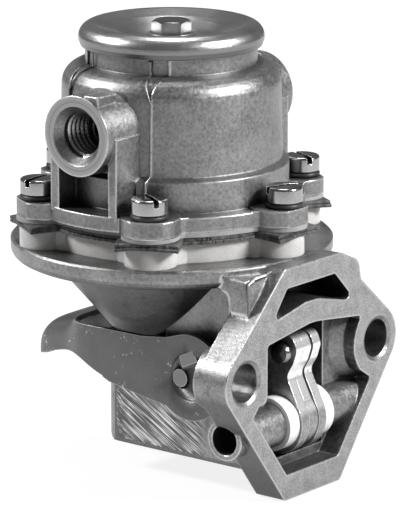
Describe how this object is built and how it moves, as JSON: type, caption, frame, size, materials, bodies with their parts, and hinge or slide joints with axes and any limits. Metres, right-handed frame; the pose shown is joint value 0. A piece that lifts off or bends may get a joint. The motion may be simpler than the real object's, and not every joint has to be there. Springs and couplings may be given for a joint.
{
  "type": "mechanical fuel pump",
  "caption": "Cast diaphragm fuel pump with a bolt-on flange, engine-driven rocker lever, hand primer, clamped diaphragm housing, side ports and a bolted steel cover.",
  "frame": {"origin": "midway between the two flange bolt holes, on the mounting face", "axes": "+Z along the pump axis towards the cover, -Y into the engine, +X to the outlet port"},
  "size_m": [0.0754, 0.08, 0.1057],
  "materials": {
    "cast_body": "as cast, fine grain",
    "pressed_steel": "satin",
    "bright_steel": "bright zinc plated",
    "black_steel": "black oxide",
    "black_rubber": "matte",
    "brass_gauze": "fine gauze",
    "milky_spacer": "translucent",
    "grey_gasket": "fibre gasket",
    "coated_fabric": "rubber coated fabric",
    "dark_steel": "ground",
    "spring_steel": "satin wire",
    "valve_brass": "satin",
    "white_nylon": "smooth",
    "rocker_steel": "ground faces",
    "zinc_sheet": "satin zinc plated sheet"
  },
  "bodies": {
    "housing": {"lower_body": "cast_body", "upper_body": "cast_body", "top_cover": "pressed_steel", "cover_gasket": "black_rubber", "cover_washer": "pressed_steel", "cover_bolt": "bright_steel", "filter_screen": "brass_gauze", "clamp_screws": "bright_steel", "lock_rings": "black_steel", "spacer_ring": "milky_spacer", "diaphragm_gasket": "grey_gasket", "diaphragm_upper_layer": "coated_fabric", "diaphragm_lower_layer": "coated_fabric", "diaphragm_spring": "spring_steel", "rod_seal": "black_rubber", "seal_cup": "pressed_steel", "inlet_valve_cage": "valve_brass", "inlet_valve_spring": "spring_steel", "outlet_valve_cage": "valve_brass", "outlet_valve_spring": "spring_steel", "lever_pin": "dark_steel", "pin_washers": "white_nylon", "rocker_return_spring": "spring_steel", "shaft_seals": "black_rubber"},
    "rocker": {"rocker_plate_near": "rocker_steel", "rocker_plate_far": "rocker_steel", "rocker_pad_block": "rocker_steel", "pad_rivet": "bright_steel", "drive_pin": "bright_steel"},
    "link": {"pull_link": "rocker_steel"},
    "diaphragm": {"pull_rod": "dark_steel", "diaphragm_lower_plate": "pressed_steel", "diaphragm_upper_plate": "pressed_steel", "diaphragm_nut": "bright_steel"},
    "primer": {"primer_lever": "zinc_sheet", "primer_shaft": "bright_steel"},
    "inlet_disc": {"inlet_valve_disc": "black_rubber"},
    "outlet_disc": {"outlet_valve_disc": "black_rubber"}
  },
  "joints": [
    {"name": "rocker_pivot", "type": "hinge", "parent": "housing", "child": "rocker", "pos_m": [0, 0.0064, -0.0145], "axis": [-1, 0, 0], "range_deg": [0, 7.5], "stiffness_Nm_per_rad": 0.6, "springref_deg": -8.59, "deforming": ["rocker_return_spring"]},
    {"name": "link_pivot", "type": "hinge", "parent": "housing", "child": "link", "pos_m": [0, 0.0064, -0.0145], "axis": [-1, 0, 0], "range_deg": [0, 7.5]},
    {"name": "diaphragm_slide", "type": "slide", "parent": "housing", "child": "diaphragm", "axis": [0, 0, -1], "range_m": [0, 0.0047], "deforming": ["diaphragm_spring", "diaphragm_upper_layer", "diaphragm_lower_layer"]},
    {"name": "primer_pivot", "type": "hinge", "parent": "housing", "child": "primer", "pos_m": [0, 0.0216, -0.0038], "axis": [-1, 0, 0], "range_deg": [0, 25], "stiffness_Nm_per_rad": 0.15, "springref_deg": -28.65},
    {"name": "inlet_valve_lift", "type": "slide", "parent": "housing", "child": "inlet_disc", "axis": [0, 0, -1], "range_m": [0, 0.001], "stiffness_N_per_m": 40, "springref_m": -0.003, "deforming": ["inlet_valve_spring"]},
    {"name": "outlet_valve_lift", "type": "slide", "parent": "housing", "child": "outlet_disc", "axis": [0, 0, 1], "range_m": [0, 0.001], "stiffness_N_per_m": 40, "springref_m": -0.003, "deforming": ["outlet_valve_spring"]}
  ],
  "couplings": [
    {"joint": "link_pivot", "follows": "rocker_pivot", "ratio": 1},
    {"joint": "diaphragm_slide", "follows": "rocker_pivot", "m_per_rad": 0.0351}
  ]
}
